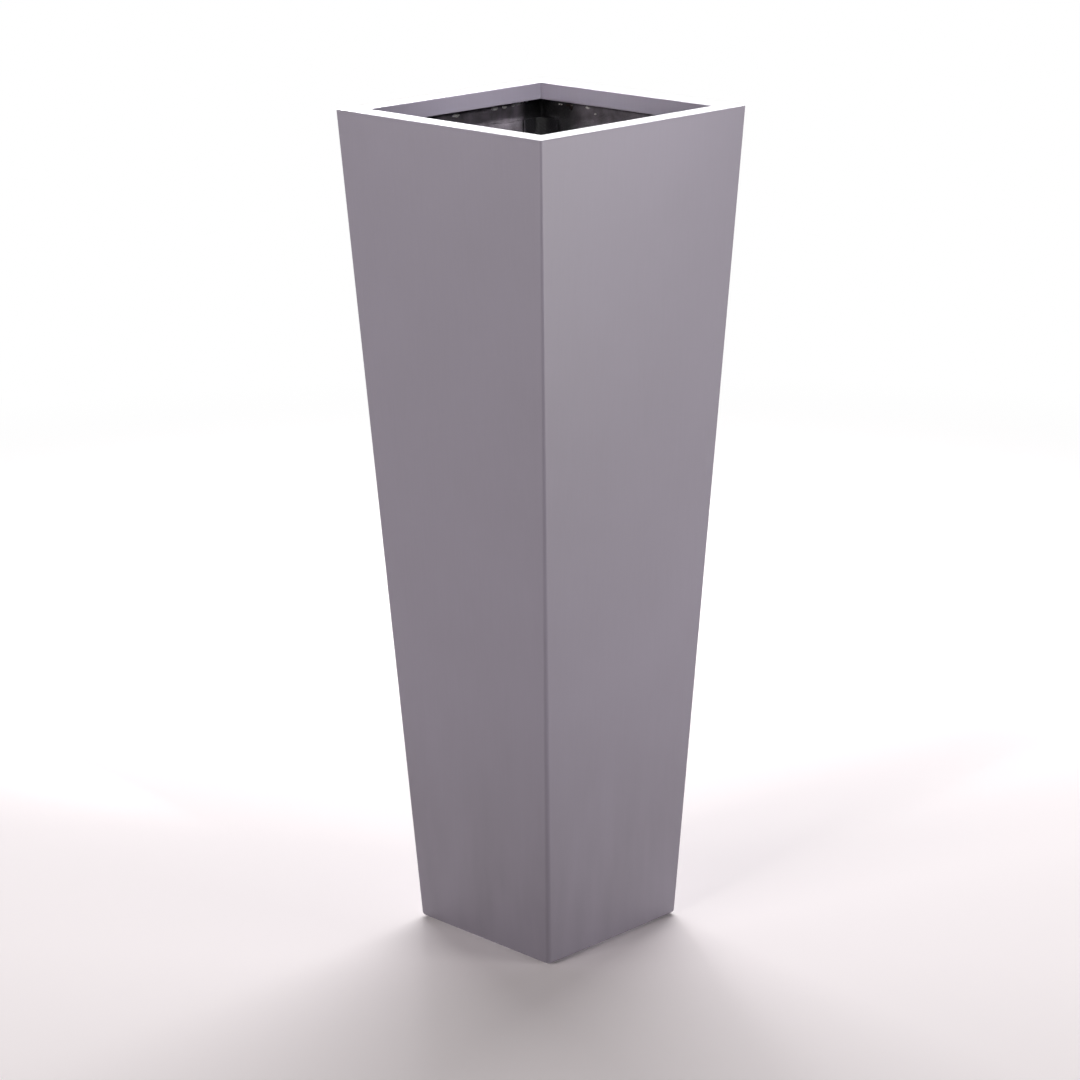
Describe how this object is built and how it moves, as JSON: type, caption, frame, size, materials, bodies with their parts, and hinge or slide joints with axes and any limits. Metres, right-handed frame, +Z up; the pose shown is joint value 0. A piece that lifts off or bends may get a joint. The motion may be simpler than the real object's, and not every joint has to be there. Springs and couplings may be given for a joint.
{
  "type": "tall square fiberglass floor planter",
  "caption": "Tall square floor planter that tapers to a narrow foot, with a flat turned-in rim, a deep hollow and a drain hole with a pull-out rubber plug.",
  "frame": {"origin": "on the floor, under the middle of the foot", "axes": "+Z up along the planter's upright axis; +X to the right and +Y to the back, both square to the walls"},
  "size_m": [0.2998, 0.2998, 0.9],
  "materials": {
    "painted_gelcoat": "satin mauve-grey paint over sanded gelcoat",
    "black_laminate": "rough brushed black resin over chopped glass mat",
    "glass_tape": "rough resin over glass tape, painted black",
    "batten_timber": "sawn, unfinished",
    "rubber": "matte moulded"
  },
  "bodies": {
    "planter": {"wall_moulding": "painted_gelcoat", "inner_laminate": "black_laminate", "rim_moulding": "painted_gelcoat", "base_panel": "black_laminate", "rim_batten_right": "batten_timber", "rim_strip_right": "glass_tape", "base_tape_right": "glass_tape", "rim_batten_back": "batten_timber", "rim_strip_back": "glass_tape", "base_tape_back": "glass_tape", "rim_batten_left": "batten_timber", "rim_strip_left": "glass_tape", "base_tape_left": "glass_tape", "rim_batten_front": "batten_timber", "rim_strip_front": "glass_tape", "base_tape_front": "glass_tape", "corner_tape_back_right": "glass_tape", "foot_pad_back_right": "rubber", "corner_tape_back_left": "glass_tape", "foot_pad_back_left": "rubber", "corner_tape_front_left": "glass_tape", "foot_pad_front_left": "rubber", "corner_tape_front_right": "glass_tape", "foot_pad_front_right": "rubber"},
    "plug": {"drain_plug": "rubber"}
  },
  "joints": [
    {"name": "drain_plug_pull", "type": "slide", "parent": "planter", "child": "plug", "axis": [0, 0, -1], "range_m": [0, 0.03]}
  ]
}
